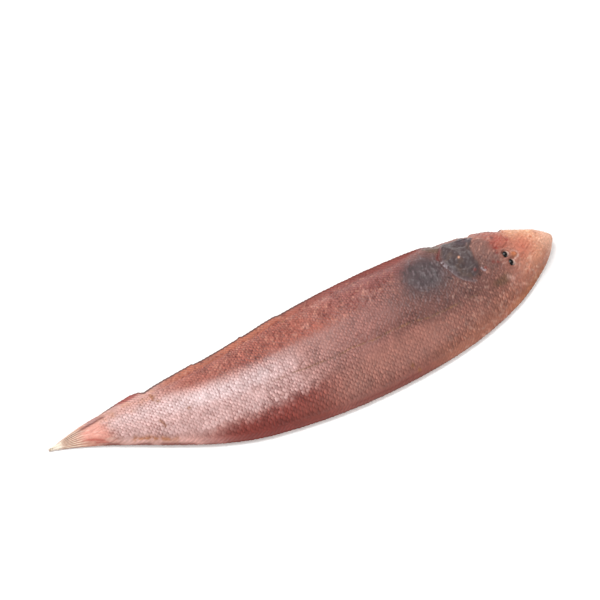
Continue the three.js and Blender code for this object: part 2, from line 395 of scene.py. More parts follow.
gill_groove = stroke(GILL_EDGE, 1.1, fade=0.2)
folds = np.max([stroke(line, 1.2) for line in GILL_FOLDS], axis=0)
gut_creases = np.max([stroke(line, 1.0, fade=0.3) for line in GUT_CREASES], axis=0)
cheek = area(CHEEK, 0.9)
relief = GILL_COVER_HIGH * gill_cover - GILL_GROOVE_DEEP * gill_groove + FOLD_HIGH * folds * gill_cover
relief += CHEEK_HIGH * cheek - GUT_DEEP * gut + GUT_CREASE_HIGH * gut_creases
slack = np.maximum(gill_cover, gut)
relief += SLACK_LUMPS * mottle(3.2, 61) * slack + GILL_LUMPS * mottle(1.1, 62) * gill_cover
print(f"plates and folds from {relief.min():.2f} to {relief.max():.2f} mm")

# %% [markdown]
# ## The mouth, the eyes' sockets and the nostrils
#
# The mouth is a hooked crease. It starts at the belly edge and turns back under the lower eye,
# between soft lips. The two eyes sit close together in raised rims, with a clear blister of
# skin in front of them. Small nostrils and pores lie ahead on the snout. The bare skin between
# them is pimpled, which the fine lumps stand for.

# %% Face
MOUTH = [(208.2, 12.8), (207.6, 10.2), (206.5, 8.4), (206.9, 5.6), (205.6, 3.9), (203.2, 3.3),
         (200.8, 4.4), (199.4, 6.2)]
JAW_CREASE = [(206.4, 8), (203.6, 7.4), (200.8, 7.2), (198.6, 5.2)]
EYE_SIZE = 3.7
EYES = {"eye_belly_side": (202.9, -0.2), "eye_back_side": (203.7, -4.3)}
BLISTER = (205.9, -1.9)
NOSTRILS = [(217.0, 2.4), (220.9, 0.0), (220.0, 2.9)]
SNOUT_CREASES = [
    [(215.2, 9.2), (217.2, 6.0), (216.8, 2.6), (217.4, 0.2)],
    [(210.5, -2), (213.5, 0.5), (214, 4)],
    [(208.5, 6), (210.5, 3.5), (210, 0)],
    [(200, -8), (203, -9.6), (206, -9)],
    [(197.5, -6.2), (200, -6.4), (201.6, -7.4)],
]

LIP_HIGH, MOUTH_DEEP, JAW_CREASE_DEEP, SNOUT_CREASE_DEEP = 0.12, 0.4, 0.1, 0.18
SOCKET_RIM_HIGH, SOCKET_DEEP, BLISTER_HIGH = 0.55, 0.6, 0.8
NOSTRIL_RIM_HIGH, NOSTRIL_DEEP = 0.2, 0.45
PIMPLE_HIGH, BARE_LUMPS = 0.16, 0.14

mouth_crease = stroke(MOUTH, 0.95, steady=True)
jaw_crease = stroke(JAW_CREASE, 0.8)
lips = np.clip(stroke(MOUTH, 3.4, steady=True) - mouth_crease, 0, 1)
snout_creases = np.max([stroke(line, 0.8, fade=0.3) for line in SNOUT_CREASES], axis=0)
relief += (LIP_HIGH * lips - MOUTH_DEEP * mouth_crease - JAW_CREASE_DEEP * jaw_crease
           - SNOUT_CREASE_DEEP * snout_creases)
for u, w in EYES.values():
    away = np.hypot(U - u, W - w)
    relief += SOCKET_RIM_HIGH * np.exp(-(((away - 0.62 * EYE_SIZE) / 0.75) ** 2))
    relief -= SOCKET_DEEP * np.exp(-((away / (0.42 * EYE_SIZE)) ** 4))
blister = np.exp(-((np.hypot(U - BLISTER[0], W - BLISTER[1]) / 1.45) ** 4))
relief += BLISTER_HIGH * blister
for u, w in NOSTRILS:
    away = np.hypot(U - u, W - w)
    rim, hole = np.exp(-(((away - 0.8) / 0.35) ** 2)), np.exp(-((away / 0.45) ** 2))
    relief += NOSTRIL_RIM_HIGH * rim - NOSTRIL_DEEP * hole
BARE = ramp(U + 0.5 * W + head_drift, 186, 200) * (1 - gill_cover)
pimples = np.maximum(mottle(0.75, 63), 0) ** 1.5
relief += (PIMPLE_HIGH * pimples + BARE_LUMPS * mottle(2.2, 64)) * BARE
print(f"face relief from {relief.min():.2f} to {relief.max():.2f} mm")

# %% [markdown]
# ## Fins
#
# The fringe is a web of skin over fine bony rays, about 1.8 mm apart. The rays lean back
# towards the tail. Between them the web's free edge is notched, and handling leaves a few
# larger nicks. Rays are ridges in the height, and notches pull the edge of the grid inwards.
# On the belly edge the outline also steps in where the gill cover and the jaw end.

# %% Fin rays and notches
RAY_PITCH = 1.75
RAY_LEAN = 1.3  # how far a ray's tip lies behind its root, for each millimetre of its length
TAIL_RAYS = 9
RAY_HIGH, TAIL_RAY_HIGH = 0.16, 0.22
BELLY_TRIM = [(16, 0), (24, 0.4), (30, 0.2), (38, -0.3), (42, 0.3), (44, 1.5), (47, 1.1), (52, 0.6),
              (64, 0.2), (66.5, 0.0), (67.5, 0.6), (88, 0.7), (89, 0.2), (90.5, 0.8), (106, 0.5),
              (108, 1.0), (172, 0.7), (175.5, 0.9), (179.5, 2.2), (191, 1.5), (195, 2.2), (196.8, 1.0),
              (204, 1.1), (207.6, 2.2), (209, 0.9), (216, 1.3), (222, 0.8), (227, 0)]
BACK_TRIM = [(20, 0), (60, 0.1), (100, 0.5), (140, 0.3), (180, 0), (204, 0.4), (214, 1.1), (222, 1.3),
             (227, 1.3)]

edge_gap = np.minimum(FROM_BELLY, FROM_BACK)
ray_phase = (U - RAY_LEAN * edge_gap + wander(0.45, 70)) / RAY_PITCH * 2 * math.pi
ray = (0.5 + 0.5 * np.cos(ray_phase)) ** 2
ray = ray * (0.55 + 0.45 * mottle(5, 75)) * np.where(W > 0, 1, 0.5)
relief += RAY_HIGH * (ray - 0.2) * ON_FIN * (1 - ON_TAIL)
tail_ray = (0.5 + 0.5 * np.cos(SHARE * TAIL_RAYS * math.pi + 0.5 * mottle(7, 71))) ** 1.5
relief += TAIL_RAY_HIGH * (tail_ray - 0.4) * ON_TAIL


def trim(points, phase, seed):
    """How far the free edge is pulled in at each station, in millimetres."""
    u = U[:, 0]
    broad = smoothed(np.interp(u, *np.array(points).T), 1.5, 0)
    web = 0.14 * (1 - np.abs(np.cos(phase / 2))) + 0.15 * np.abs(mottle(4, seed)[:, 0])
    return (broad + web * ramp(u, 14, 24) * ramp(SNOUT[:, 0], 6, 16)) * ramp(u, 4, 14)


belly_pull = trim(BELLY_TRIM, ray_phase[:, -1], 72)
back_pull = trim(BACK_TRIM, ray_phase[:, 0], 73)
Y = mid + W - belly_pull[:, None] * ramp(SHARE, 0.6, 1) + back_pull[:, None] * ramp(-SHARE, 0.6, 1)
web_pull = (1.6 + 1.3 * np.cos(SHARE * TAIL_RAYS * math.pi) + 0.7 * mottle(1.2, 74)) * ramp(9 - U, 0, 9)
X = X + np.maximum(web_pull, 0)
print(f"the edge is trimmed by up to {max(belly_pull.max(), back_pull.max()):.2f} mm")

# %% [markdown]
# ## Wear
#
# A landed fish is a little slack: its flank has shallow dents, its skin has fine creases where
# it was bent, and a few scales were scraped away. These break up the even net of scales.

# %% Dents, scrapes and the lateral line
LATERAL_LINE = [(60, -2.0), (76, -3.2), (90, -4.6), (104, -5.4), (118, -6.6), (130, -7.2), (142, -7.8),
                (156, -8.9), (168, -9.7), (180, -10), (190, -9.4)]
SCRAPES = [
    [(91.0, 3.8), (92.0, 1.2), (93.6, -2.4)],
    [(130.0, -2.4), (131.6, -5.0), (133.0, -7.0), (134.2, -5.4), (135.0, -3.6)],
    [(104, -4.4), (106, -2.6), (108, -1.4)],
    [(69.5, 3), (70.2, 0), (69.4, -3)],
    [(74.4, 1.5), (75.4, -1.5), (75, -4)],
    [(86, -7.5), (87.5, -10), (88.5, -12.5)],
    [(97, -10), (99, -14), (101.5, -18)],
]
STREAK_HIGH, DENT_DEEP, LUMP_HIGH, GRAIN_HIGH = 0.16, 0.20, 0.12, 0.06
SCRAPE_DEEP, LATERAL_DEEP = 0.16, 0.12
TAIL_STEP_SHARE = 0.5  # scales near the tail are thinner: their step, as a share of the flank's
EDGE_ROUND, SNOUT_ROUND = 0.45, 1.2  # how far in from the rim the skin is rounded over

lateral = stroke(LATERAL_LINE, 0.7)
scraped = np.max([stroke(line, 0.5) for line in SCRAPES], axis=0)
relief += STREAK_HIGH * streaks(1.8, 0.6, 30, 138) * BARE
lumps = LUMP_HIGH * mottle(5, 81) + GRAIN_HIGH * mottle(1.6, 82)
relief += DENT_DEEP * mottle(14, 80) + lumps * (1 - ON_FIN)
relief -= SCRAPE_DEEP * scraped + LATERAL_DEEP * lateral

edge_round = np.sqrt(1 - (1 - np.clip(edge_gap / EDGE_ROUND, 0, 1)) ** 2)
end_round = ramp(U, 0, 0.8) * np.sqrt(1 - (1 - np.clip(SNOUT / SNOUT_ROUND, 0, 1)) ** 2)
close = np.minimum(edge_round, end_round)
calm = ramp(edge_gap, 0, 1.2) * ramp(SNOUT, 0.5, 4)
step_share = TAIL_STEP_SHARE + (1 - TAIL_STEP_SHARE) * ramp(U, 45, 90)
RELIEF = (relief + SCALE_STEP * step_share * (SCALE_RISE - 0.5) * SCALED) * calm
middle = (TOP + UNDER) / 2
Z = middle + (TOP + RELIEF - middle) * close
print(f"the eyed side now reaches {Z.max():.2f} mm")

# %% [markdown]
# ## The blind side
#
# The underside never needs points as fine as the eyed side, so its grid takes every second
# point. It lies flat on the table except near the fins. It has scales too, thinner than those
# above, the other faces of the same fin rays, a gill opening and its own half of the mouth. It
# has no eyes and no lateral line. Every feature is pressed up into the flesh, so nothing reaches
# below the table. The rim is the eyed side's rim, point for point, so the skin closes.

# %% Points and faces of the closed skin
COARSE = 2
rows, columns = U.shape
number = np.arange(rows * columns).reshape(rows, columns)
points = np.stack([X, Y, Z], -1).reshape(-1, 3)

BLIND_STEP = 0.16  # from a scale's free edge to the pocket behind it
BLIND_RAY = 0.14
BLIND_GROOVE_DEEP = 0.5
BLIND_GILL = [(187, 25), (183, 20.5), (180.2, 15.5), (179.2, 11), (180, 7)]
BLIND_MOUTH = [(209.6, 16), (207.8, 12.4), (205.6, 10), (202.8, 8.8)]
blind_scaled = (1 - ON_FIN) * (1 - ON_TAIL) * (1 - ramp(U + wander(2.0, 160), 192, 210))
blind_groove = np.maximum(stroke(BLIND_GILL, 1.1, fade=0.3), stroke(BLIND_MOUTH, 0.9, fade=0.3))
blind_high = BLIND_STEP * SCALE_RISE * blind_scaled + BLIND_RAY * ray * ON_FIN
blind_high = np.minimum(blind_high, BLIND_STEP) - BLIND_GROOVE_DEEP * blind_groove
Z_UNDER = np.maximum(middle + (UNDER + (BLIND_STEP - blind_high) * calm - middle) * close, 0)
# The blind side is lightened on its scales' crests and darkened towards their pockets as painted light
# and shade, with each scale's own tone and paler fin rays.
BLIND_SHADE = (1.1 * (SCALE_RISE - 0.45) + 0.35 * SCALE_TINT) * blind_scaled + (ray - 0.4) * ON_FIN
coarse = number[::COARSE, ::COARSE]
inside = np.zeros(coarse.shape, bool)
inside[1:-1, 1:-1] = True
fresh = np.where(inside, rows * columns + np.cumsum(inside.ravel()).reshape(coarse.shape) - 1, coarse)
under_points = np.stack([X, Y, Z_UNDER], -1)[::COARSE, ::COARSE][inside]
points = np.vstack([points, under_points])

quads = [number[:-1, :-1], number[1:, :-1], number[1:, 1:], number[:-1, 1:]]
top_faces = np.stack(quads, -1).reshape(-1, 4)
under_faces = []
for i in range(coarse.shape[0] - 1):
    for j in range(coarse.shape[1] - 1):
        a, b = i * COARSE, j * COARSE
        loop = [fresh[i, j]]
        if i == 0:
            loop += list(number[a, b + 1 : b + COARSE])
        loop.append(fresh[i, j + 1])
        if j == coarse.shape[1] - 2:
            loop += list(number[a + 1 : a + COARSE, b + COARSE])
        loop.append(fresh[i + 1, j + 1])
        if i == coarse.shape[0] - 2:
            loop += list(number[a + COARSE, b + COARSE - 1 : b : -1])
        loop.append(fresh[i + 1, j])
        if j == 0:
            loop += list(number[a + COARSE - 1 : a : -1, b])
        under_faces.append([int(n) for n in loop])


def placed(name, data):
    """A new object with this data, linked into the scene."""
    made = bpy.data.objects.new(name, data)
    bpy.context.scene.collection.objects.link(made)
    return made


skin_mesh = bpy.data.meshes.new("sole_skin")
skin_mesh.from_pydata((points * MM).tolist(), [], top_faces.tolist() + under_faces)
skin_mesh.shade_smooth()
skin = placed("sole_skin", skin_mesh)
print(f"{len(points)} points, {len(top_faces)} faces above and {len(under_faces)} below")

# %% [markdown]
# ## Paint
#
# Colour on a sole is a stack of thin washes: a dusty rose ground, a silver bloom where scales
# are whole with a painted sheen over it where the flank faces the big lamp, blood red where the
# fins were bruised, darkened by painted shade along the near flank and edge, a brown head, and a
# slate stain over the gut and gills. Each wash is a mask and a colour. The masks are kept on the
# mesh as named attributes, and the material mixes the washes one over the other.

# %% Colour helper
def paint(code):
    """An sRGB hex colour as the linear values that Blender mixes."""
    parts = [int(code[k : k + 2], 16) / 255 for k in (1, 3, 5)]
    return (*(p / 12.92 if p <= 0.04045 else ((p + 0.055) / 1.055) ** 2.4 for p in parts), 1.0)


def fill(node, inputs):
    """Gives each named input of a node a value or a link."""
    for name, value in inputs.items():
        if isinstance(value, bpy.types.NodeSocket):
            node.id_data.links.new(value, node.inputs[name])
        else:
            node.inputs[name].default_value = value


def add(tree, kind, settings, inputs):
    """Adds a node with its settings, its values and its links."""
    made = tree.nodes.new(kind)
    for name, value in settings.items():
        setattr(made, name, value)
    fill(made, inputs)
    return made


def new_material(name):
    """An empty material: the material itself, its node tree and its shader."""
    material = bpy.data.materials.new(name)
    material.use_nodes = True
    return material, material.node_tree, material.node_tree.nodes["Principled BSDF"]


# %% [markdown]
# The ground colour runs from the pale root of the tail to the brown head. Over it lie the
# washes, each with its name, its colour, how strongly it covers, and its mask. A later one lies
# over an earlier one. Most boundaries wander, because the masks use nudged places.

# %% Ground colour and washes
GROUND = [(0, "#dcc3a4"), (12, "#cf8e78"), (30, "#cfa096"), (50, "#c8978e"), (80, "#b98880"),
          (110, "#a5736a"), (140, "#95625a"), (165, "#80524a"), (188, "#855448"), (204, "#a86a58"),
          (216, "#c98c6f"), (227, "#d9a48c")]
# The silver outline marks the scales' own silvery bloom, which also carries a painted sheen where the
# flank faces the big lamp.
SILVER = [(24, 2), (34, 5), (44, 9), (52, 6.5), (64, 5.5), (78, 6.5), (92, 7.2), (108, 8), (122, 6),
          (126, -4), (116, -10), (104, -14.0), (94, -14.2), (85, -12.6), (77, -11.9), (66, -12.6),
          (56, -12.4), (46, -10.4), (38, -8), (28, -5)]
silver = area(SILVER, 2.4) * (1 - ramp(U + 5 * mottle(6, 121), 80, 122))
silver = silver * ramp(5.5 - DW - 2.2 * SCALE_TINT, -4, 5)
silver = np.clip(silver * (1 + 0.35 * SCALE_TINT + 0.25 * mottle(5, 122)), 0, 1)
under_silver = ramp(-DW - 1.2 * SCALE_TINT, 11, 17) * ramp(U, 48, 74)
belly_edge_line = 1 - ramp(FROM_BELLY - belly_pull[:, None] * 0.3, 0.25, 1.0)
back_edge_line = 1 - ramp(FROM_BACK, 0.3, 1.8)
FAR_FLANK = ramp(DW, 4, 9) * ramp(U, 44, 62)
WASHES = [
    # the flanks
    ("salmon_belly_flank", "#9c4c38", 0.8, FAR_FLANK * (1 - ramp(U, 112, 146))),
    ("plum_belly_flank", "#86433e", 0.6, ramp(DW, 10, 17) * ramp(U, 118, 140) * (1 - ramp(U, 160, 176))),
    ("plum_bruises", "#7a3530", 0.55,
     dots([(123, 12.6), (126, 12), (134, 11.4), (137, 10.6), (147, 15), (85, 8)], 3.6)),
    ("pale_belly_patches", "#bb877c", 0.45,
     dots([(116, 16.5), (119, 14), (114, 12), (127, 22), (143, 14.5), (122, 20)], 3.4)),
    ("orange_fringe", "#ab5f42", 0.7,
     (1 - ramp(FROM_BELLY, 2.2, 5.5)) * ramp(U, 46, 56) * (1 - ramp(U, 96, 118))),
    ("red_grain", "#6c2419", 0.65,
     ramp(streaks(1.5, 0.9, 60, 110) + 0.5 * mottle(0.8, 111), 0.1, 0.9) * FAR_FLANK
     * (1 - ramp(U, 150, 168))),
    ("pale_grain", "#cf937d", 0.35,
     ramp(streaks(1.8, 0.8, 60, 112), 0.3, 0.9) * FAR_FLANK * (1 - ramp(U, 150, 168))),
    # the scales' own silvery bloom, with a painted sheen from the big lamp over it
    ("silver_bloom_and_sheen", "#d3b1ae", 0.76, silver),
    # painted highlight: the brightest band of sheen along the middle of the flank
    ("silver_sheen_highlight", "#e0d0d2", 0.5, silver * patch(68, 0.5, 60, 7, -1, 0.8)),
    # bruised red under the silver, darkened by painted shade on the near flank, which faces away from the
    # big lamp
    ("back_bruise_and_shade", "#84281b", 0.9, under_silver * (1 - ramp(U, 104, 124))),
    # painted shade: the near edge darkens towards its rim, over the bruised red of the fin
    ("back_border_bruise_and_shade", "#6a2018", 0.75, (1 - ramp(FROM_BACK + wander(1.0, 94), 1.5, 7)) * ramp(U, 60, 80)),
    ("salmon_back_flank", "#ab7262", 0.55, patch(150, -18, 84, 15, 3, 0.6)),
    ("lateral_shade", "#6c4037", 0.5, patch(160, -8.5, 56, 5.5, -4, 0.9)),
    ("head_brown", "#684640", 0.75, patch(177, -1, 54, 19, -3, 0.6)),
    ("back_russet", "#a86c55", 0.6, (1 - ramp(FROM_BACK + wander(1.5, 95), 3, 10)) * ramp(U, 146, 170)),
    # the gut, the back and the gill cover
    ("gut_slate", "#3e3337", 0.9, patch(168, 9, 21, 20, 10, 0.55)),
    ("gut_haze", "#83787a", 0.35, gut_creases * ramp(mottle(1.0, 97), -0.4, 0.6)),
    ("gut_streaks", "#857679", 0.45,
     ramp(streaks(2.2, 0.6, 70, 113) + 0.4 * mottle(0.9, 114), 0.25, 1.0)
     * np.maximum(gut, patch(168, 3, 30, 22, 0, 0.6))),
    ("gut_dark", "#2f2626", 0.6, ramp(streaks(1.6, 0.7, 70, 115), 0.2, 0.9) * gut),
    ("head_speckle", "#b58e80", 0.4,
     ramp(mottle(0.9, 116) + 0.4 * mottle(2.2, 117), 0.35, 1.0) * ramp(U, 150, 175) * ramp(-DW, -4, 2)),
    ("belly_olive", "#57402c", 0.75,
     area([(174, 24), (175, 18), (178, 15.5), (180, 19), (181, 24)], 0.9)),
    ("gill_slate", "#3a3032", 0.9, gill_cover),
    ("gill_folds", "#665a59", 0.5, folds * gill_cover),
    ("gill_grain", "#75686a", 0.6,
     ramp(streaks(1.3, 0.6, 40, 118) + 0.4 * mottle(0.7, 119), 0.3, 1.1) * gill_cover),
    ("gill_umber", "#59433a", 0.65,
     ramp(mottle(2.8, 147) + 0.5 * mottle(1.2, 148), 0.0, 1.0) * gill_cover),
    ("gill_purple", "#3c2a33", 0.7,
     area([(185.5, 17.5), (188, 13), (193, 12.5), (194, 16.5), (190, 19)], 1.2)),
    ("gill_rust", "#7d3f2a", 0.8, area([(184, 23), (184, 19.4), (188, 18.6), (190, 21)], 0.8)),
    # the face and the snout
    ("cheek_mauve", "#75534b", 0.8, cheek),
    ("jaw_salmon", "#99584d", 0.75,
     area([(196.5, 19), (198, 12), (200.5, 8), (205.5, 8.5), (206.5, 12), (204, 17)], 1.2)),
    ("snout_peach", "#dda581", 0.7,
     area([(208.5, 14), (208.5, 8), (213, 4), (218, 3), (220, 7), (214, 13)], 3.5)),
    ("face_mauve_grain", "#5f3a36", 0.6,
     ramp(mottle(0.9, 130) + 0.6 * mottle(2.0, 131), 0.1, 1.0) * ramp(U, 188, 192)
     * (1 - ramp(U, 204, 209)) * ramp(DW, -7, -2)),
    ("face_pale_grain", "#c99484", 0.5,
     ramp(streaks(1.6, 0.7, 55, 132), 0.3, 1.0) * ramp(U, 189, 193) * (1 - ramp(U, 210, 216))),
    ("snout_pores", "#9c4f38", 0.55,
     ramp(mottle(0.8, 133) + 0.5 * streaks(2.6, 0.7, 20, 134), 0.45, 1.1) * ramp(U, 204, 209)),
    ("snout_dew", "#f0c8ae", 0.5,
     ramp(mottle(0.7, 135) + 0.6 * mottle(2.4, 136), 0.4, 1.2) * ramp(U, 205, 211)),
    ("back_glow", "#d09884", 0.5,
     ramp(streaks(2.4, 0.8, -30, 137), 0.2, 1.0) * ramp(U, 168, 184) * ramp(-DW, 8, 13)),
    ("snout_rose", "#b5604c", 0.6, patch(211.5, 0, 9, 11, 0, 0.8)),
    # the snout's pale tip, lightened further as a painted highlight on its rounded end
    ("snout_tip_and_highlight", "#dfae94", 0.7, ramp(U - 0.2 * np.abs(W) + wander(1, 98), 217, 225)),
    ("snout_border", "#a2613f", 0.6,
     (1 - ramp(FROM_BACK, 1.0, 3.5)) * ramp(U, 192, 200) * (1 - ramp(U, 216, 222))),
    ("brow_olive", "#644730", 0.75, patch(196.5, -9, 8, 3.4, 12, 0.6)),
    ("brow_pale", "#c99d90", 0.6, stroke([(198.6, -8.0), (200.4, -9.2), (202.2, -10.6)], 1.7)),
    ("blister_amber", "#b4673c", 0.8, blister),
    # painted highlight: a pale broken ring of glints around the clear blister
    ("blister_highlight_ring", "#d9b8ac", 0.6,
     ramp(mottle(1.0, 150), -0.6, 0.3)
     * np.exp(-(((np.hypot(U - BLISTER[0], W - BLISTER[1]) - 1.9) / 0.5) ** 2)) * ramp(U, 204, 206)),
    ("mouth_red", "#8c2f24", 0.8,
     np.maximum(stroke(MOUTH, 1.5), 0.7 * stroke(JAW_CREASE, 1.3)) * ramp(mottle(1.5, 149), -0.5, 0.3)),
    ("mouth_flush", "#a3483a", 0.5, patch(203.5, 6, 9, 6, 10, 0.7)),
    ("cheek_blood", "#7a2a20", 0.7,
     dots([(196.6, -1.6), (198.2, -2.2), (187.3, -0.7), (192.0, -2.2), (199.6, 1.6), (200.2, 4.2)], 1.5)),
    ("gill_red", "#6f2a22", 0.7, stroke([(180.6, 19), (178.6, 15.6), (176.6, 13.2), (176.3, 10.8)], 1.1)),
    ("gill_dark", "#33211f", 0.8,
     np.maximum(dots([(188.5, -3.5), (183, 3.2)], 1.6), stroke([(175.6, 2.4), (178, 0.4)], 0.8))),
    ("gill_white", "#b9adb2", 0.7,
     np.maximum(stroke([(177.0, 11), (177.3, 8.4), (178.3, 5.4), (179, 3)], 1.1)
                * ramp(mottle(0.9, 99), -0.3, 0.3),
                stroke([(190.1, -0.8), (190.8, -2.4), (192, -3.1)], 0.7))),
    ("gill_membrane", "#7d7276", 0.45,
     stroke([(178, 6.5), (179.4, 2.5), (181.2, -1.2), (184.3, -4.2), (187, -6)], 1.2)),
    ("gill_pearl", "#e2a78a", 0.95, dots([(184.3, 7.9)], 1.1)),
    # the tail and its root
    ("tail_flesh", "#d98c7e", 0.5,
     area([(11.5, 1.4), (16, 2.4), (22, 2.5), (25, -3), (22, -5), (16, -3.2), (11.5, -1)], 1.4)),
    ("tail_pale_streaks", "#efc6b4", 0.5,
     ramp(streaks(5, 0.6, -14, 142), 0.1, 0.9) * ramp(U, 9, 13) * (1 - ramp(U, 24, 32))),
    ("tail_rust_streaks", "#9a4a38", 0.45,
     ramp(streaks(4, 0.6, 14, 143), 0.2, 1.0) * ramp(U, 9, 12) * (1 - ramp(U, 26, 36))),
    ("peduncle_ochre", "#b98058", 0.4,
     ramp(mottle(2.6, 144) + 0.5 * mottle(1.1, 145), 0.0, 1.0) * ramp(U, 20, 26) * (1 - ramp(U, 46, 58))
     * ramp(DW, -1, 5)),
    # dark red dots in the deepest part of the scales' pockets: partly red flesh, partly painted shade
    ("red_pocket_dots_and_shade", "#6f2a22", 0.75,
     np.clip(POCKET - 0.25, 0, 1) * ramp(U, 26, 36) * (1 - ramp(U, 92, 112)) * ramp(DW, 0, 3)
     * ramp(mottle(1.6, 146), -0.6, 0.5)),
    ("tail_blood", "#b4412f", 0.6,
     np.maximum(stroke([(13, -2), (17.5, -3.2), (23, -5.2)], 0.8),
                stroke([(18, -4.4), (24, -5.9)], 0.6))),
    ("tail_line", "#74301f", 0.9, stroke([(6, 1.6), (12, 2.2), (17, 3.2), (22, 4.4), (27, 5.6)], 1.3)),
    ("tail_cream", "#efe2ca", 0.9, ON_TAIL * (0.25 + 0.75 * tail_ray)),
    ("tail_web", "#a06c5f", 0.85, ON_TAIL * (1 - tail_ray)),
    ("tail_tip_cream", "#f3e8d6", 0.9, 1 - ramp(U, 2, 7)),
    # the edges, slime, and scrapes
    ("fringe_mauve", "#8a6468", 0.55, patch(20, 5.2, 8, 2.6, 20, 0.6)),
    ("belly_edge_line", "#4b231b", 0.9,
     belly_edge_line * ramp(U, 22, 30) * (1 - ramp(U, 178, 184) * ramp(202 - U, 0, 6))),
    ("belly_bump_red", "#8c2f26", 0.85, patch(36.5, 11.3, 11, 2.6, 14, 0.5)),
    ("back_edge_line", "#6a2a1e", 0.8,
     back_edge_line * ramp(U, 16, 24) * (1 - ramp(U, 60, 80)) * ramp(mottle(4, 140), -1, 0.2)),
    ("belly_edge_red", "#7c2b1d", 0.7,
     (1 - ramp(FROM_BELLY + wander(0.6, 151), 0.8, 4)) * ramp(U, 104, 136) * (1 - ramp(U, 172, 179))),
    ("back_edge_dark", "#6f2f28", 0.6, stroke([(116, -26.2), (135, -26.4), (152, -26)], 0.8)),
    ("ochre_slime", "#a5622c", 0.8,
     stroke([(31, -6.8), (36, -8.6), (42, -10.4), (50, -13.2)], 2.2) * ramp(mottle(1.4, 141), -1.1, 0.2)),
    ("ochre_drips", "#8f5526", 0.75,
     np.maximum(stroke([(46, 11.4), (46.4, 8.5), (46, 5)], 1.3),
                stroke([(44.8, -3.5), (46, -7.6)], 1.1))),
    ("ochre_spots", "#96602f", 0.7,
     dots([(57, -2.4), (147, -22.8), (149, -25.2), (42.6, 8.4), (47.6, 4.6), (107.6, 21)], 1.5)),
    ("lateral_ochre", "#86603c", 0.6, lateral * ramp(mottle(1.6, 77), -0.8, 0.2) * ramp(U, 84, 104)),
    ("creases", "#7c3f38", 0.55, scraped),
]
for name, _, _, mask in WASHES:
    print(f"{name}: {100 * mask.mean():.1f}% of the skin")

# %% Keep the masks on the mesh
def keep(name, mask, below=False):
    """Stores a mask on the eyed side's points, and on the blind side's own points if below."""
    values = np.zeros(len(points), np.float32)
    values[: mask.size] = np.clip(mask, -1, 1).ravel()
    if below:
        values[mask.size :] = np.clip(mask[::COARSE, ::COARSE][inside], -1, 1)
    skin_mesh.attributes.new(name, "FLOAT", "POINT").data.foreach_set("value", values)


for name, _, _, mask in WASHES:
    keep(name, mask)
keep("along", U / length)
# the pockets: painted shade behind each free edge, over darker red flesh
keep("pocket", POCKET * SCALED)
keep("scale_tint", SCALE_TINT * SCALED)
# painted highlight on each scale's crest by its free edge, and painted shade over the rest of the scale
keep("free_edge_highlight_and_shade", (np.clip(SCALE_RISE - 0.5, 0, 1) / 0.5 - 0.3) * SCALED * step_share)
keep("fin_ray", (ray - 0.4) * ON_FIN * (1 - ON_TAIL))
keep("pimples", pimples * BARE)
keep("blind_shade", BLIND_SHADE, below=True)
keep("blind_groove", blind_groove, below=True)
keep("blind_fin", np.maximum(ON_FIN, ON_TAIL), below=True)

# %% [markdown]
# ## The eyed skin
#
# Wet fish skin is a dielectric: a clear film of slime, index about 1.35 to 1.4, over pigment. It
# reads as satin, and the crests of the scales carry a painted highlight for their glints. The
# pockets between scales are painted dark red, partly darker flesh and partly painted shade, so
# each scale is outlined, and every scale has its own slight tone.

# %% Material of the eyed skin
MIX = {"data_type": "RGBA"}
NOISE_LOW, NOISE_HIGH = 0.3, 0.7  # nearly all of a noise texture lies between these
GRAIN_PER_METRE = 900  # specks about 1 mm across
CLOUD_PER_METRE = 160  # clouds about 6 mm across
# the pockets' dark red: partly the flesh's own colour, partly painted shade
POCKET_BLOOD_AND_SHADE, POCKET_STRENGTH = "#8c3127", 0.9
SKIN_IOR = 1.4
SATIN, DULL = 0.38, 0.52  # the roughness, from one end of the clouds to the other
GRAIN_SHADE, CLOUD_SHADE = 0.14, 0.08  # how much each noise darkens and lightens the skin
# The scales' crests are lifted as a painted highlight and their lower parts dimmed as painted shade; the
# tint, the rays and the pimples are the skin's own tones.
BRIGHTER = {"scale_tint": 0.17, "free_edge_highlight_and_shade": 0.50, "fin_ray": 0.5, "pimples": 0.3}


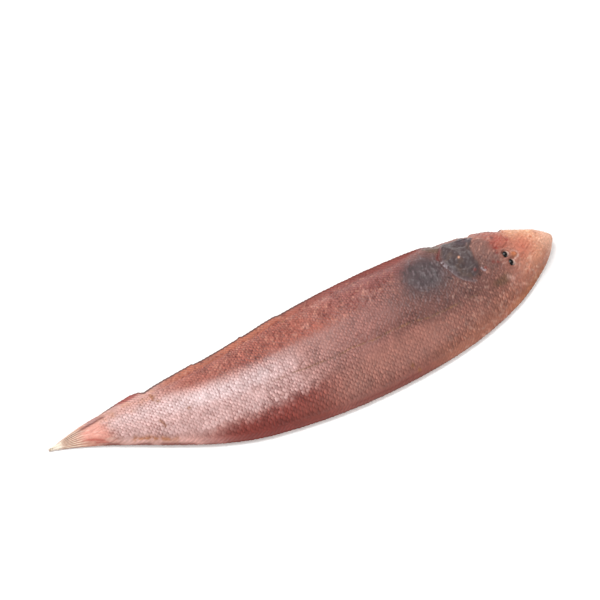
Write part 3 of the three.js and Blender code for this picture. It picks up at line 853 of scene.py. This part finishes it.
def slimed_scaled_skin():
    """Wet scaled skin: washes of pigment and painted sheen, pockets dark with flesh and painted shade, a
    satin film.
    """
    material, tree, shader = new_material("slimed_scaled_skin")
    where = add(tree, "ShaderNodeTexCoord", {}, {}).outputs["Object"]
    specks = {"Vector": where, "Scale": GRAIN_PER_METRE, "Detail": 4, "Roughness": 0.6}
    clouds = {"Vector": where, "Scale": CLOUD_PER_METRE, "Detail": 3, "Roughness": 0.6}
    grain = add(tree, "ShaderNodeTexNoise", {}, specks).outputs["Fac"]
    blotch = add(tree, "ShaderNodeTexNoise", {}, clouds).outputs["Fac"]
    masks = {
        name: add(tree, "ShaderNodeAttribute", {"attribute_name": name}, {}).outputs["Fac"]
        for name in ("along", "pocket", *BRIGHTER, *(wash[0] for wash in WASHES))
    }

    ground = add(tree, "ShaderNodeValToRGB", {}, {"Fac": masks["along"]})
    stops = ground.color_ramp.elements
    while len(stops) < len(GROUND):
        stops.new(1)
    for stop, (u, code) in zip(stops, GROUND):
        stop.position, stop.color = u / length, paint(code)
    colour = ground.outputs["Color"]
    for name, code, strength, _ in WASHES:
        cover = add(tree, "ShaderNodeMath", {"operation": "MULTIPLY"}, {0: masks[name], 1: strength})
        wash = {0: cover.outputs[0], 6: colour, 7: paint(code)}
        colour = add(tree, "ShaderNodeMix", MIX, wash).outputs[2]
    # Darken the pockets: partly darker red flesh, partly painted shade under each scale's step.
    deep = {0: masks["pocket"], 1: POCKET_STRENGTH}
    in_pocket = add(tree, "ShaderNodeMath", {"operation": "MULTIPLY"}, deep).outputs[0]
    blood = {0: in_pocket, 6: colour, 7: paint(POCKET_BLOOD_AND_SHADE)}
    colour = add(tree, "ShaderNodeMix", {**MIX, "blend_type": "MULTIPLY"}, blood).outputs[2]

    value = 1.0
    for name, amount in BRIGHTER.items():
        lift = {0: masks[name], 1: amount, 2: value}
        value = add(tree, "ShaderNodeMath", {"operation": "MULTIPLY_ADD"}, lift).outputs[0]
    for noise, shade in ((grain, GRAIN_SHADE), (blotch, CLOUD_SHADE)):
        spread = {0: noise, 1: NOISE_LOW, 2: NOISE_HIGH, 3: 1 - shade, 4: 1 + shade}
        factor = add(tree, "ShaderNodeMapRange", {}, spread).outputs[0]
        value = add(tree, "ShaderNodeMath", {"operation": "MULTIPLY"}, {0: value, 1: factor}).outputs[0]
    colour = add(tree, "ShaderNodeHueSaturation", {}, {"Value": value, "Color": colour}).outputs[0]

    satin = {0: blotch, 1: NOISE_LOW, 2: NOISE_HIGH, 3: SATIN, 4: DULL}
    rough = add(tree, "ShaderNodeMapRange", {}, satin).outputs[0]
    fine_relief = {"Strength": 0.25, "Distance": 0.2 * MM, "Height": grain}
    bump = add(tree, "ShaderNodeBump", {}, fine_relief).outputs["Normal"]
    fill(shader, {"Base Color": colour, "Roughness": rough, "Normal": bump, "IOR": SKIN_IOR})
    return material


# The last colour darkens the blind side's gill opening and mouth as painted shade in the grooves.
BLIND_CREAM, BLIND_BLUSH, BLIND_FIN, BLIND_GROOVE_SHADE = "#e9d6cb", "#dcb9ae", "#d3a295", "#b27a6f"
BLIND_CLOUD_PER_METRE = 60
FIN_COVER, BLIND_BRIGHTER, BLIND_ROUGH = 0.6, 0.22, 0.42


def pale_blind_skin():
    """The unpigmented underside: cream flesh seen through thin skin, pinker on the fins."""
    material, tree, shader = new_material("pale_blind_skin")
    where = add(tree, "ShaderNodeTexCoord", {}, {}).outputs["Object"]
    clouds = {"Vector": where, "Scale": BLIND_CLOUD_PER_METRE, "Detail": 4, "Roughness": 0.6}
    blotch = add(tree, "ShaderNodeTexNoise", {}, clouds).outputs["Fac"]
    masks = {
        name: add(tree, "ShaderNodeAttribute", {"attribute_name": name}, {}).outputs["Fac"]
        for name in ("blind_fin", "blind_groove", "blind_shade")
    }

    cream = {0: blotch, 6: paint(BLIND_CREAM), 7: paint(BLIND_BLUSH)}
    colour = add(tree, "ShaderNodeMix", MIX, cream).outputs[2]
    on_fin = {0: masks["blind_fin"], 1: FIN_COVER}
    web = add(tree, "ShaderNodeMath", {"operation": "MULTIPLY"}, on_fin).outputs[0]
    colour = add(tree, "ShaderNodeMix", MIX, {0: web, 6: colour, 7: paint(BLIND_FIN)}).outputs[2]
    # painted shade in the grooves
    groove = {0: masks["blind_groove"], 6: colour, 7: paint(BLIND_GROOVE_SHADE)}
    colour = add(tree, "ShaderNodeMix", MIX, groove).outputs[2]
    # painted light and shade over the blind side's scales, with their own tones
    lift = {0: masks["blind_shade"], 1: BLIND_BRIGHTER, 2: 1.0}
    value = add(tree, "ShaderNodeMath", {"operation": "MULTIPLY_ADD"}, lift).outputs[0]
    colour = add(tree, "ShaderNodeHueSaturation", {}, {"Value": value, "Color": colour}).outputs[0]
    fill(shader, {"Base Color": colour, "Roughness": BLIND_ROUGH, "IOR": SKIN_IOR})
    return material


skin_mesh.materials.append(slimed_scaled_skin())
skin_mesh.materials.append(pale_blind_skin())
slots = np.zeros(len(skin_mesh.polygons), np.int32)
slots[len(top_faces) :] = 1
skin_mesh.polygons.foreach_set("material_index", slots)
print("skin painted")

# %% [markdown]
# ## Eyes
#
# Each eye is a small dome, made of rings of points on a squashed half ball. A black pupil and a
# dull pale iris are painted on it by the distance from the pupil's centre, and a thin clear coat
# makes it wet.

# %% Make an eye
RINGS, SIDES = 14, 40
EYE_SINK, EYE_BULGE = 0.35, 1.15  # how deep the rim is set in its socket, and the dome's height
PUPIL_BACK, PUPIL_OVAL = 0.65, 0.85  # how far it lies towards the tail, and its length by width
PUPIL_EDGE, IRIS_EDGE = 0.60, 0.74  # black up to the first share of the radius, iris past the second
IRIS_DARK, IRIS_PALE, PUPIL_BLACK = "#3a2c2a", "#dcb5a6", "#070606"
CORNEA_IOR, CORNEA_ROUGH = 1.376, 0.12


def surface_point(u, w):
    """The finished eyed side's point nearest a place, in millimetres."""
    i = np.abs(U[:, 0] - u).argmin()
    j = np.abs(W[i] - w).argmin()
    return X[i, j], Y[i, j], Z[i, j]


def wet_eye():
    """Cornea over a black pupil and a dull iris, pale on its snout side: very smooth."""
    material, tree, shader = new_material("wet_eye")
    masks = {
        name: add(tree, "ShaderNodeAttribute", {"attribute_name": name}, {}).outputs["Fac"]
        for name in ("towards_snout", "from_pupil")
    }
    pale = add(tree, "ShaderNodeMapRange", {}, {0: masks["towards_snout"], 1: -0.2, 2: 0.9}).outputs[0]
    iris = {0: pale, 6: paint(IRIS_DARK), 7: paint(IRIS_PALE)}
    iris = add(tree, "ShaderNodeMix", MIX, iris).outputs[2]
    pupil = {0: masks["from_pupil"], 1: PUPIL_EDGE, 2: IRIS_EDGE, 3: 1, 4: 0}
    black = add(tree, "ShaderNodeMapRange", {}, pupil).outputs[0]
    colour = add(tree, "ShaderNodeMix", MIX, {0: black, 6: iris, 7: paint(PUPIL_BLACK)}).outputs[2]
    fill(shader, {"Base Color": colour, "Roughness": CORNEA_ROUGH, "IOR": CORNEA_IOR})
    fill(shader, {"Specular IOR Level": 0.3, "Coat Weight": 0.1, "Coat Roughness": 0.04})
    return material


def make_eye(name, u, w, material):
    """A low dome set in its socket, with the pupil a little towards the tail."""
    x, y, z = surface_point(u, w)
    radius = EYE_SIZE / 2
    verts, from_pupil, towards_snout = [], [], []
    for r in range(RINGS + 1):
        lean = math.pi / 2 * r / RINGS
        for s in range(SIDES):
            turn = 2 * math.pi * s / SIDES
            across = radius * math.sin(lean)
            px, py = across * math.cos(turn), across * math.sin(turn)
            verts.append((x + px, y + py, z - EYE_SINK + EYE_BULGE * math.cos(lean)))
            from_pupil.append(math.hypot(px + PUPIL_BACK, PUPIL_OVAL * py) / radius)
            towards_snout.append(px / radius)
    quads = []
    for r in range(RINGS):
        for s in range(SIDES):
            a, b = r * SIDES + s, r * SIDES + (s + 1) % SIDES
            quads.append((a + SIDES, b + SIDES, b, a))
    quads.append(tuple(RINGS * SIDES + s for s in reversed(range(SIDES))))
    mesh = bpy.data.meshes.new(name)
    mesh.from_pydata([tuple(c * MM for c in v) for v in verts], [], quads)
    for attribute, values in (("from_pupil", from_pupil), ("towards_snout", towards_snout)):
        mesh.attributes.new(attribute, "FLOAT", "POINT").data.foreach_set("value", values)
    mesh.shade_smooth()
    mesh.materials.append(material)
    return placed(name, mesh)


cornea = wet_eye()
eyes = [make_eye(name, u, w, cornea) for name, (u, w) in EYES.items()]
print(f"{len(eyes)} eyes, {EYE_SIZE} mm across")

# %% [markdown]
# ## The stage
#
# A pale table, a big soft lamp high behind the fish and a bright room around it. The big lamp
# gives the flank its soft sheen and puts the shadow on the near side. A weaker lamp in front
# fills the shadows.

# %% Floor, lamps and camera
TABLE = 3.0  # half its side, in metres
TABLE_DROP = 0.2 * MM  # it lies this far below the skin, so that the two don't meet in one plane
TABLE_WHITE, TABLE_ROUGH = "#fbfbfb", 0.9
ROOM_LIGHT = 0.66

floor_mesh = bpy.data.meshes.new("table")
table_corners = [(TABLE * a, TABLE * b, 0) for a, b in ((-1, -1), (1, -1), (1, 1), (-1, 1))]
floor_mesh.from_pydata(table_corners, [], [(0, 1, 2, 3)])
floor = placed("table", floor_mesh)
floor.location.z = -TABLE_DROP
white, _, white_shader = new_material("white_table")
fill(white_shader, {"Base Color": paint(TABLE_WHITE), "Roughness": TABLE_ROUGH})
floor_mesh.materials.append(white)

world = bpy.data.worlds.new("bright_room")
bpy.context.scene.world = world
world.use_nodes = True
fill(world.node_tree.nodes["Background"], {"Color": (1, 1, 1, 1), "Strength": ROOM_LIGHT})

TURN = math.radians(24.8)  # the fish lies turned this much to the camera
LIFT = math.radians(60)  # how high the camera looks down from
DISTANCE = 0.9  # metres
LENS, SENSOR = 131.2, 36  # millimetres
to_right = Vector((math.cos(TURN), -math.sin(TURN), 0))
away_from_us = Vector((math.sin(TURN), math.cos(TURN), 0))
centre = Vector((6.0, 26.8, 0)) * MM  # what the camera looks at, near the fish's far edge


def lamp(name, right, away, up, size, power):
    """A square soft lamp that looks where the camera looks, and is placed from there in metres."""
    light = bpy.data.lights.new(name, "AREA")
    light.size, light.energy = size, power
    holder = placed(name, light)
    holder.location = centre + right * to_right + away * away_from_us + Vector((0, 0, up))
    holder.rotation_euler = (centre - holder.location).to_track_quat("-Z", "Y").to_euler()


lamp("key", right=-0.40, away=0.45, up=0.90, size=0.70, power=9.3)
lamp("fill", right=0.7, away=-0.5, up=0.9, size=0.6, power=3)

camera_data = bpy.data.cameras.new("camera")
camera_data.lens, camera_data.sensor_width = LENS, SENSOR
camera = placed("camera", camera_data)
back = -math.cos(LIFT) * away_from_us + Vector((0, 0, math.sin(LIFT)))
camera.location = centre + DISTANCE * back
camera.rotation_euler = (-back).to_track_quat("-Z", "Y").to_euler()
bpy.context.scene.camera = camera
bpy.context.scene.view_settings.view_transform = "Standard"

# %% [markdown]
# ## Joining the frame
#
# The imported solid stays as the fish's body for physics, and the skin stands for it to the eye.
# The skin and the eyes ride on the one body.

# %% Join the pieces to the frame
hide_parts(NODE)
for piece in (skin, *eyes):
    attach(piece, "root")
